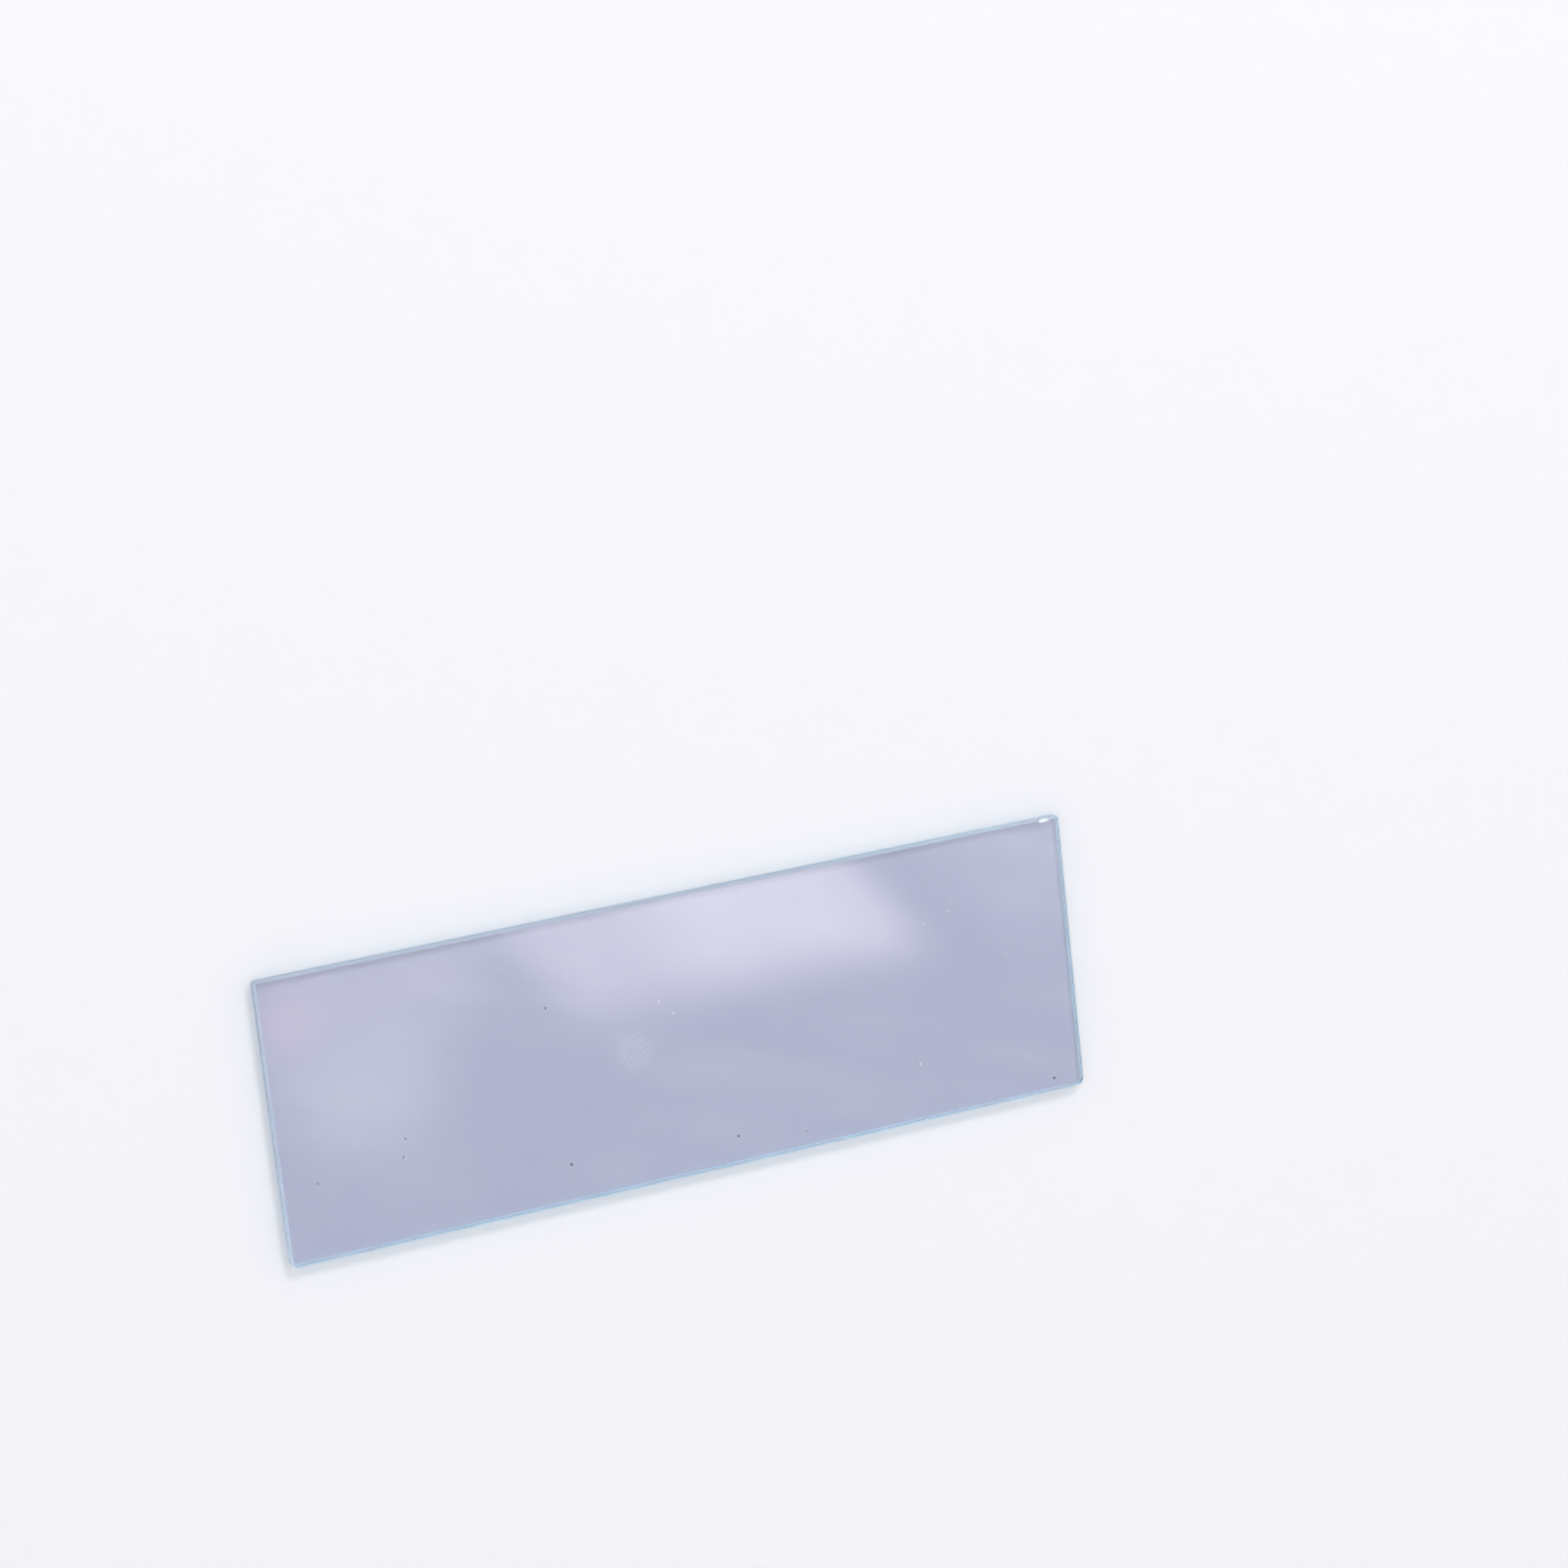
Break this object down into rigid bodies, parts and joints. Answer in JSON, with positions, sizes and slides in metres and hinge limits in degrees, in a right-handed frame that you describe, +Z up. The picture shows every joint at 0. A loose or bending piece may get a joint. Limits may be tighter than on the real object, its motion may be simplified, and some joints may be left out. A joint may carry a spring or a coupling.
{
  "type": "microscope slide",
  "caption": "Plain glass microscope slide: a thin flat plate with ground, bevelled edges that carries a specimen under a cover glass.",
  "frame": {"origin": "middle of the underside, the face that rests on a stage", "axes": "+X along the length towards the end beside the chip, +Y across the width towards the chipped long edge, +Z up through the thickness"},
  "size_m": [0.0762, 0.0254, 0.0011],
  "materials": {
    "clear_glass": "fire-polished faces, ground matt edges"
  },
  "bodies": {
    "root": {"glass_slide": "clear_glass"}
  },
  "joints": []
}
